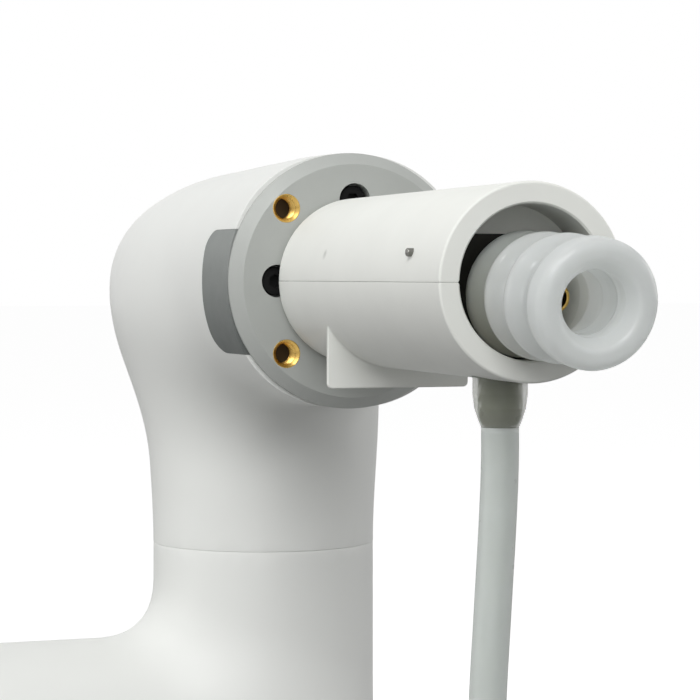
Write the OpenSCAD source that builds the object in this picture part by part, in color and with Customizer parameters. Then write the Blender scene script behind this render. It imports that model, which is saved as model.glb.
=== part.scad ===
// Robot arm wrist with a one-cup vacuum gripper.
// The forearm end carries the upright joint 5; the wrist housing on it
// carries the level joint 6, whose tool flange holds the gripper.
// Origin: centre of the forearm's mounting face. +X runs along the forearm,
// +Z runs up along joint 5, the tool points along -Y.

/* [Arm layout] */
// Forearm mounting face to the joint 5 axis
reach_x = 125; // [115:1:150]
// Forearm axis up to the joint 6 axis
axis_rise = 128; // [124:1:140]
// Joint 5 axis to the tool flange seat
flange_reach = 70.5; // [70:0.5:80]
// Joint 5 axis to the rear end of the wrist housing
rear_reach = 57.5; // [50:0.5:65]

/* [Housings] */
// Diameter of the wrist barrel and of the tool flange
flange_d = 63; // [62:0.5:66]
// Width of the wrist barrel over joint 5
barrel_w = 73; // [66:1:78]
// How far the rear of the barrel sags
barrel_sag = 3.5; // [0:0.5:6]
// Squareness of the rear dome, 2 is an ellipse
dome_power = 5.5; // [2:0.5:6]
// Diameter of the upright column at the turning seam
column_d = 60.4; // [59:0.2:62]
// Widening of the column towards the barrel
column_flare = 1.6; // [0:0.2:3]
// Height of the turning seam below the joint 6 axis
seam_drop = 71.4; // [68:0.2:76]
// Width of the gap at a turning seam
seam_gap = 0.4; // [0.3:0.1:1]
// Softness of the blend between column and barrel
blend = 22; // [10:1:30]

/* [Forearm end] */
// Pitch circle of the mounting holes
mount_pcd = 50; // [48:0.5:51]
// Number of mounting holes
mount_count = 8; // [4:4:8]
// Pitch circle of the end ring's own screws
ring_screw_pcd = 55; // [54.6:0.1:55.4]

/* [Tool flange] */
// Pitch circle of the threaded inserts
insert_pcd = 50; // [48:1:50]
// Outer diameter of a threaded insert
insert_d = 7; // [6.5:0.1:7]
// Bore of a threaded insert, cut for M6
insert_bore = 5; // [4.8:0.1:5.2]
// Pitch circle of the flange screws
screw_pcd = 40; // [39:0.5:41]
// Counterbore of a flange screw
counterbore_d = 8; // [7.4:0.1:8]
// Centring bore of the flange
centring_d = 31.5; // [30:0.5:31.5]
// How far the flange face stands proud of its rim
face_proud = 3.6; // [3:0.1:5]

/* [Gripper body] */
// Flange seat to the open front ring
body_end = 110.3; // [105:0.5:125]
// Outer diameter at the flange
body_rear_d = 40.4; // [39:0.2:41]
// Outer diameter at the front ring
body_front_d = 41.4; // [40:0.2:42]
// Bore of the body
body_bore = 32.2; // [31:0.2:33]
// Width of the square foot plate
foot_w = 35.2; // [30:0.2:38]
// Gripper axis down to the foot plate's lower edge
foot_drop = 24.9; // [23:0.1:27]
// Thickness of the foot plate
foot_t = 3.2; // [2.5:0.1:5]
// Flange seat to the foot plate's front face
foot_at = 33.7; // [30:0.1:40]
// Diameter of the retaining pins
pin_d = 1.8; // [1.4:0.1:2]
// How far a retaining pin stands out of the body
pin_proud = 1.2; // [0:0.1:1.6]
// Flange seat to the hose port
port_at = 93.4; // [90:0.2:96]

/* [Suction cup] */
// Gripper axis down to the cup axis at the front ring
cup_drop = 2.6; // [1:0.1:2.7]
// Downward lean of the bellows
cup_lean = 2.2; // [0:0.1:4]
// Downward tilt of the lip
lip_tilt = 8; // [0:0.5:9]
// Radius of the cup's collar and folds
fold_r = 13.3; // [12:0.1:13.3]
// Radius of the lip at its back
lip_r = 13; // [12:0.1:13.2]
// Radius of the lip's mouth
mouth_r = 6.8; // [6:0.1:7.5]
// Flange seat to the front of the lip
lip_at = 142; // [140:0.2:142.6]

/* [Hose] */
// Outer diameter of the hose
hose_d = 8; // [7:0.2:8.4]
// Outer diameter of the hose end stretched over the barb
hose_end_d = 11.7; // [10.5:0.1:12]

/* [Hidden] */

round_fn = 96;
off_white = [0.86, 0.87, 0.84];
body_white = [0.9, 0.9, 0.86];
silicone = [0.8, 0.84, 0.83, 0.7];
flange_grey = [0.62, 0.64, 0.63];
steel = [0.6, 0.61, 0.63];
brass = [0.8, 0.62, 0.24];
black_part = [0.08, 0.08, 0.08];
seal_grey = [0.66, 0.67, 0.66];
copper = [0.72, 0.42, 0.24];

flange_r = flange_d / 2;
column_r = column_d / 2;
wall = 4.2;                       // housing wall round the drives
bore_r = column_r - wall;         // drive bores
pin_rise = 6.2;                   // pins and snap pips above the gripper axis
pin_at = 92.6;                    // retaining pins, from the flange seat
pip_at = 36.7;                    // snap pips, from the flange seat
pip_r = 1.5;
sink_r = 2.6;                     // sink mark outside each snap pip
manifold_top = 10;                // gripper axis up to the manifold's flat top
web_at = 98;                      // front of the web that rests on it
boss_r = flange_r - 2.6;          // flange boss inside the housing
boss_back = 4;                    // how far the boss reaches in
rotor_r = 13;
stator_r = rotor_r + 0.6;
shaft_r = 4;
fit_gap = 0.05;                   // running fit of a bearing
seal_t = seam_gap - 0.04;         // seal ring in a turning seam
seal_inset = 0.2;                 // how far a seal sits below the skin
run_on = 60;                      // skins run past the planes that cut them
arm_blend = 16;                   // blend between forearm and post
post_foot = 37;                   // forearm axis down to the bottom cap
tool_bore_r = flange_r - wall;    // joint 6 drive bore
eps = 0.01;

// Hose route below the barb, each point [x, y, z] in this frame.
hose_route = [
    [125, -163.9, 97.4], [125, -163.9, 91], [124.8, -163.9, 84], [124.3, -163.9, 74],
    [123.7, -163.9, 64], [123.1, -163.9, 54], [122.5, -163.9, 44], [121.9, -163.8, 30],
    [121.2, -163.6, 14], [120.5, -163.4, -4], [119.9, -163, -24], [119.4, -162.6, -46],
    [119, -162.2, -70], [118.8, -161.8, -94], [118.7, -161.4, -118], [118.7, -161, -142],
    [118.7, -161, -166], [118.7, -161, -184]];

// ---------- places ----------
module at_joint5() { translate([reach_x, 0, axis_rise]) children(); }

// Local frame of the tool: +Z forward from the flange seat, +Y up.
module at_flange() {
    translate([reach_x, -flange_reach, axis_rise]) rotate([90, 0, 0]) children();
}

module at_cup() {
    at_flange() translate([0, -cup_drop, body_end]) rotate([cup_lean, 0, 0]) children();
}

module around(count, pcd, first = 0) {
    for (i = [0 : count - 1]) rotate(first + i * 360 / count) translate([pcd / 2, 0, 0]) children();
}

// ---------- small shapes ----------
module ring(r_out, r_in, from, to) {
    translate([0, 0, from]) difference() {
        cylinder(r = r_out, h = to - from, $fn = round_fn);
        translate([0, 0, -1]) cylinder(r = r_in, h = to - from + 2, $fn = round_fn);
    }
}

module disc(r, from, to) { translate([0, 0, from]) cylinder(r = r, h = to - from, $fn = round_fn); }

module cap_screw(head_d, head_h, shank_d, length) {
    difference() {
        union() {
            cylinder(d = head_d, h = head_h, $fn = 32);
            translate([0, 0, -length]) cylinder(d = shank_d, h = length + eps, $fn = 32);
        }
        translate([0, 0, head_h / 2]) cylinder(d = head_d * 0.5, h = head_h, $fn = 6);
    }
}

// ---------- blended housings ----------
function smooth_min(a, b, k) = let (h = max(k - abs(a - b), 0) / k) min(a, b) - h * h * k / 4;
function clamp01(v) = min(max(v, 0), 1);
function ease(v) = let (c = clamp01(v)) c * c * (3 - 2 * c);

// Wrist housing, about the crossing of joints 5 and 6.
function barrel_field(p) =
    let (t = max(p[1] + rear_reach, 0) / (2 * rear_reach),
         half_w = flange_r + (barrel_w / 2 - flange_r) * ease((p[1] + flange_reach) / 60),
         u = abs(p[0]) / half_w,
         v = abs(p[2] + barrel_sag * t) / flange_r,
         q = pow(pow(u, 2.2) + pow(v, 2.2), 1 / 2.2))
    flange_r * (pow(pow(q, dome_power) + pow(t, dome_power), 1 / dome_power) - 1);
function column_field(p) =
    let (r = column_r + column_flare * ease((p[2] + seam_drop) / 40),
         up = max(p[2] + 18, 0))
    norm([p[0], p[1], up]) - r;
function wrist_field(p) =
    max(smooth_min(barrel_field(p), column_field(p), blend),
        -p[1] - flange_reach - run_on, -p[2] - seam_drop - run_on);

// Forearm end, about the joint 5 axis at the height of the forearm axis.
function arm_field(p) = norm([max(p[0] + 14, 0), p[1], p[2]]) - flange_r;
function post_field(p) = norm([p[0], p[1]]) - column_r;
function forearm_field(p) =
    max(smooth_min(arm_field(p), post_field(p), arm_blend),
        -p[0] - reach_x - run_on, p[2] - (axis_rise - seam_drop) - run_on, -p[2] - post_foot - run_on);

function wrist_hit(c, d, lo, hi, n) = n == 0 ? (lo + hi) / 2 :
    let (m = (lo + hi) / 2, inside = wrist_field(c + m * d) < 0)
    wrist_hit(c, d, inside ? m : lo, inside ? hi : m, n - 1);
function forearm_hit(c, d, lo, hi, n) = n == 0 ? (lo + hi) / 2 :
    let (m = (lo + hi) / 2, inside = forearm_field(c + m * d) < 0)
    forearm_hit(c, d, inside ? m : lo, inside ? hi : m, n - 1);

// Closed skin over a grid of directions: rows run from pole to pole.
module star_skin(points, rows, cols) {
    n = rows * cols;
    polyhedron(points = points, faces = concat(
        [for (i = [0 : rows - 2], j = [0 : cols - 1]) each
            let (a = i * cols + j, b = i * cols + (j + 1) % cols) [[a, b, b + cols], [a, b + cols, a + cols]]],
        [for (j = [0 : cols - 1]) [n, (j + 1) % cols, j]],
        [for (j = [0 : cols - 1]) [n + 1, n - cols + j, n - cols + (j + 1) % cols]]));
}

skin_rows = 27;
skin_cols = 56;
module wrist_skin() {
    c = [0, 0, -6];
    dirs = [for (i = [1 : skin_rows], j = [0 : skin_cols - 1])
        let (a = 180 * i / (skin_rows + 1), b = 360 * j / skin_cols)
        [sin(a) * cos(b), -cos(a), sin(a) * sin(b)]];
    star_skin([for (d = concat(dirs, [[0, -1, 0], [0, 1, 0]])) c + wrist_hit(c, d, 0, 180, 26) * d],
        skin_rows, skin_cols);
}
module forearm_skin() {
    c = [0, 0, 2];
    dirs = [for (i = [1 : skin_rows], j = [0 : skin_cols - 1])
        let (a = 180 * i / (skin_rows + 1), b = 360 * j / skin_cols)
        [-cos(a), sin(a) * sin(b), sin(a) * cos(b)]];
    star_skin([for (d = concat(dirs, [[-1, 0, 0], [1, 0, 0]])) c + forearm_hit(c, d, 0, 220, 26) * d],
        skin_rows, skin_cols);
}

// ---------- drive pieces, on an axis along Z with the output side up ----------
module stator(r_out, from, to) {
    teeth = 12;
    color(copper) union() {
        ring(r_out, r_out - 6, from, to);
        for (i = [0 : teeth - 1]) rotate(i * 360 / teeth)
            translate([stator_r + 0.2, -1.6, from]) cube([r_out - 6 - stator_r, 3.2, to - from]);
    }
}

// Motor rotor, shaft and wave generator turn as one.
module rotor(wave_r, wave_from, wave_to, magnet_from, magnet_to, shaft_from) {
    color(steel) difference() {
        union() {
            disc(wave_r, wave_from, wave_to);
            disc(rotor_r, magnet_from, magnet_to);
            disc(shaft_r, shaft_from, wave_to);
        }
        translate([0, 0, shaft_from - 1]) cylinder(r = 2.5, h = wave_to - shaft_from + 2, $fn = 32);
    }
}

module flexspline(foot_r, cup_r, from, foot, to) {
    color(steel) union() {
        ring(cup_r, cup_r - 1.2, from, foot + eps);
        ring(foot_r, 15, foot, to);
    }
}

// ---------- forearm ----------
post_bosses = 46;                 // pitch circle of the bottom cap's bosses
end_ring_t = 10;
spigot_r = 24.9;                  // end ring's spigot inside the forearm
module at_forearm() { translate([reach_x, 0, 0]) children(); }
module at_end() { rotate([0, 90, 0]) children(); }

module forearm_housing() {
    top = axis_rise - seam_drop - seam_gap;
    color(off_white) union() {
        difference() {
            at_forearm() forearm_skin();
            translate([-100, -60, -60]) cube([100 + end_ring_t, 120, 120]);
            at_forearm() translate([-60, -60, top]) cube([120, 120, 90]);
            at_forearm() translate([-60, -60, -post_foot - 90]) cube([120, 120, 90]);
            at_forearm() disc(bore_r, -post_foot - 1, top + 1);
            at_end() disc(spigot_r + 0.1, end_ring_t - 1, reach_x - 38);
            at_end() disc(6, reach_x - 40, reach_x);
            at_end() rotate(22.5) around(4, ring_screw_pcd) disc(1.55, end_ring_t - 1, end_ring_t + 12);
        }
        at_forearm() rotate(45) around(4, post_bosses) difference() {
            disc(3.6, -30, -18);
            disc(1.25, -31, -19);
        }
    }
}

module forearm_end_ring() {
    color(flange_grey) at_end() difference() {
        union() {
            disc(flange_r, 0, end_ring_t);
            disc(spigot_r, end_ring_t - eps, end_ring_t + 5);
        }
        disc(20, -1, end_ring_t + 6);
        around(mount_count, mount_pcd) disc(2.1, -1, end_ring_t - 1);
        rotate(22.5) around(4, ring_screw_pcd) disc(1.6, -1, end_ring_t + 6);
        rotate(22.5) around(4, ring_screw_pcd) disc(2.95, -1, 3.4);
    }
}

module end_ring_screws() {
    color(black_part) at_end() rotate(22.5) around(4, ring_screw_pcd) translate([0, 0, 3.4]) mirror([0, 0, 1])
        cap_screw(5.5, 3, 3, 16);
}

module bottom_cap() {
    color(off_white) at_forearm() difference() {
        union() {
            rotate_extrude($fn = round_fn) polygon(concat(
                [[0, -post_foot - 0.2], [column_r, -post_foot - 0.2]],
                [for (a = [0 : 15 : 90]) [column_r - 6 + 6 * cos(a), -post_foot - 1 - 6 * sin(a)]],
                [[0, -post_foot - 7]]));
            disc(bore_r - 0.1, -post_foot - 0.3, -30.2);
        }
        disc(bore_r - 3, -34, -30);
        rotate(45) around(4, post_bosses) disc(1.6, -50, -20);
        rotate(45) around(4, post_bosses) disc(3, -50, -41);
    }
}

module bottom_cap_screws() {
    color(black_part) at_forearm() rotate(45) around(4, post_bosses) translate([0, 0, -41]) mirror([0, 0, 1])
        cap_screw(5.5, 2.6, 2.4, 18);
}

// Joint 5 drive: the ring side stays in the forearm.
module j5_bearing_outer() { color(steel) at_joint5() ring(bore_r, 22.9 + fit_gap, -86.5, -74); }
module j5_circular_spline() { color(steel) at_joint5() ring(bore_r, 20.8, -107, -97); }
module j5_stator() { at_joint5() stator(bore_r, -127, -111); }
module j5_encoder() { color("darkgreen") at_joint5() ring(bore_r, shaft_r + fit_gap, -134, -130.5); }
module j5_seal() {
    from = -seam_drop - seam_gap;
    color(seal_grey) at_joint5() ring(column_r - seal_inset, bore_r + 1, from, from + seal_t);
}
module j5_rotor() { at_joint5() rotor(18.7, -105, -98, -126, -112, -135); }

// ---------- wrist ----------
// Window outline: across along the barrel, up round it. It is open to the
// front edge of the housing and has round corners behind.
module window_outline(grow) {
    from = -18.5 - grow;
    to = 4;
    low = -18 - grow;
    high = 12.7 + grow;
    r = 5;
    translate([from + r, low]) square([to - from - r, high - low]);
    translate([from, low + r]) square([to - from, high - low - 2 * r]);
    for (y = [low + r, high - r]) translate([from + r, y]) circle(r = r, $fn = 32);
}

// The window's place on the barrel's flank, between two radii.
module window_block(r_in, r_out, front, grow) {
    at_flange() intersection() {
        ring(r_out, r_in, -30, front);
        rotate([0, -90, 0]) linear_extrude(60) window_outline(grow);
    }
}

module wrist_housing() {
    color(off_white) difference() {
        at_joint5() wrist_skin();
        at_flange() translate([-60, -60, -seam_gap]) cube([120, 120, 90]);
        at_joint5() translate([-60, -60, -seam_drop - 90]) cube([120, 120, 90]);
        at_flange() disc(boss_r + 0.3, -boss_back - 0.4, 1);
        at_flange() disc(tool_bore_r, -60.5, 1);
        at_joint5() disc(bore_r, -seam_drop - 1, -36);
        window_block(30, 40, 0, 0);
    }
}

module status_window() {
    color([0.3, 0.35, 0.33]) intersection() {
        at_joint5() wrist_skin();
        window_block(30.02, 40, -seam_gap, -0.05);
    }
}

// Joint 5 output side, bolted up into the wrist.
module j5_output_hub() {
    color(flange_grey) at_joint5() difference() {
        union() {
            disc(bore_r, -seam_drop, -61);
            disc(22.9, -76, -seam_drop + eps);
        }
        disc(8, -80, -60);
        around(6, 34) disc(2.2, -80, -60);
    }
}
module j5_bearing_inner() { color(steel) at_joint5() ring(22.9, 15, -86, -76); }
module j5_flexspline() { at_joint5() flexspline(21.5, 20.4, -105, -88.5, -86); }

// Joint 6 drive: the ring side stays in the wrist.
module j6_bearing_outer() { color(steel) at_flange() ring(tool_bore_r, 24.5 + fit_gap, -14.5, -4.8); }
module j6_circular_spline() { color(steel) at_flange() ring(tool_bore_r, 22, -36, -26); }
module j6_stator() { at_flange() stator(tool_bore_r, -55, -39); }
module j6_encoder() { color("darkgreen") at_flange() ring(tool_bore_r, shaft_r + fit_gap, -60, -57); }
module j6_seal() {
    color(seal_grey) at_flange() ring(flange_r - seal_inset, boss_r + 0.4, -seam_gap, seal_t - seam_gap);
}
module j6_rotor() { at_flange() rotor(19.9, -34, -27, -54, -40, -60.2); }

// ---------- tool flange ----------
module tool_flange() {
    color(flange_grey) at_flange() difference() {
        rotate_extrude($fn = round_fn) polygon([
            [3.05, -boss_back], [boss_r, -boss_back], [boss_r, 0], [flange_r, 0], [flange_r, 0.9],
            [flange_r - 2.8, face_proud], [centring_d / 2, face_proud], [centring_d / 2, -1.2], [3.05, -1.2]]);
        rotate(45) around(4, insert_pcd) disc(insert_d / 2, -3, 5);
        around(4, screw_pcd) disc(counterbore_d / 2, -0.6, 5);
        around(4, screw_pcd) disc(2.05, -5, 0);
    }
}

module threaded_inserts() {
    color(brass) at_flange() rotate(45) around(4, insert_pcd) ring(insert_d / 2, insert_bore / 2, -3, face_proud);
}

module flange_screws() {
    color(black_part) at_flange() around(4, screw_pcd) translate([0, 0, -0.6]) cap_screw(7, 2.6, 4, 12);
}

module j6_bearing_inner() {
    color(steel) at_flange() difference() {
        ring(24.5, 15, -14.5, -boss_back);
        around(4, screw_pcd) disc(2.05, -16, 0);
    }
}
module j6_flexspline() { at_flange() flexspline(23, 21.6, -34, -17, -14.5); }

// ---------- gripper body ----------
function arc(cx, cy, r, from, to, n) =
    [for (i = [0 : n]) let (a = from + (to - from) * i / n) [cx + r * cos(a), cy + r * sin(a)]];

module body_outer() {
    rear = face_proud + 0.05;
    r0 = body_rear_d / 2;
    r1 = body_front_d / 2;
    rotate_extrude($fn = round_fn) polygon(concat(
        [[0, rear]],
        arc(r0 - 2, rear + 2, 2, -90, 0, 6),
        arc(r1 - 1.2, body_end - 1.2, 1.2, 0, 90, 5),
        [[0, body_end]]));
}

// Bore with a bevelled mouth, pin holes and a pry notch at each end of the seam.
module body_hollow() {
    r = body_bore / 2;
    disc(r, face_proud - 1, body_end + 1);
    translate([0, 0, body_end - 0.5]) cylinder(r1 = r, r2 = r + 0.6, h = 0.6, $fn = round_fn);
    pin_holes(pin_at, pin_d / 2, 0);
    for (x = [-r, r]) translate([x, 0, body_end]) rotate(45) cube([0.7, 0.7, 4], center = true);
}

// Round holes or pegs on both flanks, between two distances from the middle.
module pin_holes(at, r, from, to = 30) {
    for (side = [-1, 1]) translate([0, pin_rise, at]) rotate([0, side * 90, 0]) disc(r, from, to);
}

module upper_shell() {
    sink_x = sqrt(pow(body_rear_d / 2, 2) - pow(pin_rise, 2)) + sink_r - 0.4;
    color(body_white) at_flange() union() {
        difference() {
            body_outer();
            body_hollow();
            translate([-40, -80, -10]) cube([80, 80, 200]);
            for (x = [-sink_x, sink_x]) translate([x, pin_rise, pip_at]) sphere(r = sink_r, $fn = 48);
        }
        pin_holes(pip_at, pip_r, 14.9, 17);
        // web that holds the manifold down
        intersection() {
            disc(body_bore / 2 + 1, web_at - 3, web_at);
            translate([-20, manifold_top + 0.05, web_at - 10]) cube([40, 20, 20]);
        }
    }
}

module foot_plate() {
    r = 1.2;
    translate([-foot_w / 2 + r, -foot_drop, 0]) square([foot_w - 2 * r, foot_drop]);
    translate([-foot_w / 2, -foot_drop + r]) square([foot_w, foot_drop - r]);
    for (side = [-1, 1]) translate([side * (foot_w / 2 - r), -foot_drop + r]) circle(r = r, $fn = 24);
}

// Hollow fillets where the plate meets the tube.
module foot_fillet() {
    r = 2.2;
    root = body_rear_d / 2 - 0.1;
    back = foot_at - foot_t;
    intersection() {
        rotate_extrude($fn = round_fn) union() {
            polygon(concat([[root, foot_at - 0.1]], arc(root + r, foot_at + r, r, 270, 180, 8)));
            polygon(concat([[root, back + 0.1]], arc(root + r, back - r, r, 90, 180, 8)));
        }
        translate([-foot_w / 2, -foot_drop, back - r]) cube([foot_w, foot_drop - 6, foot_t + 2 * r]);
    }
}

module lower_shell() {
    color(body_white) at_flange() difference() {
        union() {
            difference() {
                body_outer();
                translate([-40, 0, -10]) cube([80, 80, 200]);
            }
            translate([0, 0, foot_at - foot_t]) linear_extrude(foot_t) difference() {
                foot_plate();
                translate([-30, -8]) square([60, 30]);
            }
            foot_fillet();
            // rib that stiffens the plate from behind
            translate([-1.2, -foot_drop + 1.5, foot_at - 16]) cube([2.4, 8, 14]);
        }
        body_hollow();
        translate([0, 0, port_at]) rotate([90, 0, 0]) disc(6.2, 10, 30);
    }
}

module rear_adaptor() {
    color(black_part) at_flange() difference() {
        union() {
            disc(centring_d / 2 - 0.05, -1.2, face_proud + eps);
            disc(body_bore / 2 - 0.1, face_proud, 46);
        }
        disc(3.05, -2, 20);
        disc(5.3, 12, 50);
        pin_holes(pip_at, pip_r + 0.05, 14.8);
    }
}

module adaptor_screw() { color(black_part) at_flange() translate([0, 0, 12]) cap_screw(10, 6, 6, 15.8); }

module retaining_pins() {
    flank_x = sqrt(pow(body_front_d / 2, 2) - pow(pin_rise, 2));
    end = flank_x + pin_proud;
    color(steel) at_flange() for (side = [-1, 1]) translate([0, pin_rise, pin_at]) rotate([0, side * 90, 0])
        rotate_extrude($fn = 32) polygon([
            [0, 13], [pin_d / 2, 13], [pin_d / 2, end - 0.3], [pin_d / 2 - 0.3, end], [0, end]]);
}

module vacuum_manifold() {
    front = 101;
    color(black_part) at_flange() difference() {
        intersection() {
            disc(body_bore / 2 - 0.1, 84, front);
            translate([-20, -20, 80]) cube([40, 20 + manifold_top, 30]);
        }
        translate([0, 0, port_at]) rotate([90, 0, 0]) disc(3.6, 0, 30);
        translate([0, -cup_drop, 0]) disc(2.4, port_at - 2, front + 1);
        pin_holes(pin_at, pin_d / 2, 12.9);
    }
}

// ---------- suction cup, along the cup's own axis from the front ring ----------
lip_depth = 6.8;
lip_back = lip_at - body_end - lip_depth;
neck_r = 3.35;                     // hole of the collar, round the nipple's neck

// Flanged nipple: its head holds the collar, its tube reaches into the bellows.
module cup_nipple() {
    color(brass) at_cup() rotate_extrude($fn = 64) polygon([
        [2.4, -8.8], [7, -8.8], [7, -7], [neck_r - 0.05, -7], [neck_r - 0.05, -3.45], [4.1, -3.45],
        [4.3, -3.2], [4.3, -2], [3.9, -1.6], [3.05, -1.6], [3.05, 10.8], [2.85, 11], [2.4, 11]]);
}

// The collar grips the nipple behind and flares out to the first fold.
module cup_collar() {
    back_r = 9;
    color(silicone) at_cup() rotate_extrude($fn = round_fn) polygon(concat(
        [[neck_r, -6.9]], arc(back_r - 0.8, -6.1, 0.8, -90, 0, 4), [[back_r + 0.9, -5]],
        arc(fold_r - 0.5, -4, 0.5, -60, 90, 6), [[neck_r, -3.5]]));
}

// Outer radius of the bellows: two folds between the collar and the lip.
fold_first = 5.7;
fold_pitch = 9.7;
fold_depth = 2.3;
function fold_wave(z) = fold_r - 0.2 - fold_depth * (0.5 - 0.5 * cos(360 * (z - fold_first) / fold_pitch));

// The wall follows the folds inside too, with a ridge behind each outer groove.
module cup_bellows() {
    from = -3.45;
    to = lip_back - 1.4;
    n = 30;
    chamber = [
        [6.6, to], [6.5, 22], [6.15, 20.2], [6.15, 19.4], [8.2, 17.2], [9.2, 15.2], [8.8, 12.8],
        [7.5, 10.8], [7.5, 10], [9.6, 7.6], [10.4, 4.5], [10, 1], [8.2, from]];
    color(silicone) at_cup() rotate_extrude($fn = 64) polygon(concat(
        [for (i = [0 : n]) let (z = from + (to - from) * i / n) [fold_wave(z), z]], chamber));
}

// Soft shoulder outside, and a shallow dish round the mouth.
module cup_lip() {
    shoulder = 2.6;
    crown_r = lip_r - shoulder;
    dish = 3.2;
    color(silicone) at_cup() translate([0, 0, lip_back]) rotate([lip_tilt - cup_lean, 0, 0])
        rotate_extrude($fn = round_fn) polygon(concat(
            [[mouth_r - 0.2, 0]], arc(lip_r - 0.6, 0.6, 0.6, -90, 0, 3), [[lip_r, 1.4]],
            arc(crown_r, lip_depth - shoulder, shoulder, 0, 90, 8),
            [[mouth_r, lip_depth - dish], [mouth_r + 0.1, 1.2]]));
}

// ---------- hose ----------
module at_port() { at_flange() translate([0, 0, port_at]) rotate([90, 0, 0]) children(); }

module hose_barb() {
    color(black_part) at_port() rotate_extrude($fn = 48) polygon([
        [2.2, 4], [3.55, 4], [3.55, 15.8], [5.4, 16.2], [5.4, 18.2], [3.8, 18.4], [4.6, 21.6], [3.8, 21.8],
        [4.6, 25], [3.8, 25.2], [4.5, 28.4], [3.6, 29.4], [2.2, 29.4]]);
}

module hose_end() {
    r = hose_end_d / 2;
    color(silicone) at_port() rotate_extrude($fn = 48) polygon([
        [4.7, 18.6], [r, 18.6], [r, 23], [r - 0.35, 26.4], [r - 0.95, 28.4], [hose_d / 2, 30.6],
        [2.6, 30.6], [2.6, 29.8], [4.7, 29]]);
}

// Ring of a swept tube: centre, direction of travel, side count.
function unit(v) = v / norm(v);
function travel(pts, i) = unit(pts[min(i + 1, len(pts) - 1)] - pts[max(i - 1, 0)]);
function tube_ring(c, t, r, sides) =
    let (u = unit(cross([0, 1, 0], t)), v = cross(t, u))
    [for (j = [0 : sides - 1]) c + r * (cos(360 * j / sides) * u + sin(360 * j / sides) * v)];

module swept_tube(pts, r, sides) {
    rings = len(pts);
    polyhedron(
        points = [for (i = [0 : rings - 1]) each
            tube_ring(pts[i], i == 0 ? [0, 0, -1] : travel(pts, i), r, sides)],
        faces = concat(
            [[for (j = [0 : sides - 1]) j]],
            [for (i = [0 : rings - 2], j = [0 : sides - 1])
                let (a = i * sides + j, b = i * sides + (j + 1) % sides) [a, a + sides, b + sides, b]],
            [[for (j = [sides - 1 : -1 : 0]) (rings - 1) * sides + j]]));
}

module vacuum_hose() { color(silicone) swept_tube(hose_route, hose_d / 2, 12); }

module at_hose_tip() { translate(hose_route[len(hose_route) - 1]) mirror([0, 0, 1]) children(); }

module hose_connector() {
    color(black_part) at_hose_tip() difference() {
        union() {
            disc(6.6, 0, 9);
            cylinder(r = 6.2, h = 17, $fn = 6);
            disc(4.9, 16.9, 24);
        }
        disc(2.5, 12, 25);
    }
}

module connector_release_ring() {
    color("steelblue") at_hose_tip() union() {
        ring(6.2, hose_d / 2 + 0.05, -1.6, -0.6);
        ring(5.3, hose_d / 2 + 0.05, -0.7, 0);
    }
}

forearm_housing();
forearm_end_ring();
end_ring_screws();
bottom_cap();
bottom_cap_screws();
j5_bearing_outer();
j5_circular_spline();
j5_stator();
j5_encoder();
j5_seal();
j5_rotor();
wrist_housing();
status_window();
j5_output_hub();
j5_bearing_inner();
j5_flexspline();
j6_bearing_outer();
j6_circular_spline();
j6_stator();
j6_encoder();
j6_seal();
j6_rotor();
tool_flange();
threaded_inserts();
flange_screws();
j6_bearing_inner();
j6_flexspline();
upper_shell();
lower_shell();
rear_adaptor();
adaptor_screw();
retaining_pins();
vacuum_manifold();
cup_nipple();
cup_collar();
cup_bellows();
cup_lip();
hose_barb();
hose_end();
vacuum_hose();
hose_connector();
connector_release_ring();
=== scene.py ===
"""Looks of a robot arm's wrist that holds a one-cup vacuum gripper."""

import math

import bmesh
import bpy
import numpy as np
from mathutils import Matrix, Vector


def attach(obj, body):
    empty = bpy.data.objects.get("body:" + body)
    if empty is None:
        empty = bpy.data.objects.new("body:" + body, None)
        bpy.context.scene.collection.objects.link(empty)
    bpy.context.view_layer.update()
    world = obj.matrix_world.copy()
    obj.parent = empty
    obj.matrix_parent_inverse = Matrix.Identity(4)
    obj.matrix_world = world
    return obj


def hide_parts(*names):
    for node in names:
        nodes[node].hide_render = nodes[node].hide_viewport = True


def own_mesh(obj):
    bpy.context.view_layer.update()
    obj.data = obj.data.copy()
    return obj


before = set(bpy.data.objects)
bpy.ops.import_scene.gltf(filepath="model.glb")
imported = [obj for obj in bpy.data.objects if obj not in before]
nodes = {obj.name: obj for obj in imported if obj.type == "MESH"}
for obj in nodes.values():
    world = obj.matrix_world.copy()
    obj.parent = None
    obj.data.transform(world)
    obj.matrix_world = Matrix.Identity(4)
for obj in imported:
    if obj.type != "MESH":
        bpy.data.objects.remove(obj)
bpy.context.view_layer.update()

MM = 0.001
UP = Vector((0, 0, 1))

# Sizes in millimetres and angles in degrees, most of them as in the part's source.

# The castings.
REACH_X = 125
AXIS_RISE = 128
FLANGE_REACH = 70.5
REAR_REACH = 57.5
FLANGE_R = 31.5
BARREL_HALF_W = 36.5
BARREL_SAG = 3.5
DOME_POWER = 5.5
BARREL_POWER = 2.2
BARREL_WIDENS_OVER = 60
COLUMN_R = 30.2
COLUMN_TOP = -18
COLUMN_FLARE = 1.6
COLUMN_FLARES_OVER = 40
SEAM_DROP = 71.4
SEAM_GAP = 0.4
BLEND = 22
ARM_BLEND = 16
ARM_STOP = -14
POST_FOOT = 37
WALL = 4.2
JOINT5_BORE_R = COLUMN_R - WALL
JOINT5_BORE_TOP = -36
TOOL_BORE_R = FLANGE_R - WALL
TOOL_BORE_DEPTH = 60.5
ARM_BORE_R = 25
ARM_CABLE_R = 6
WINDOW_FLOOR_R = 30

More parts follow.
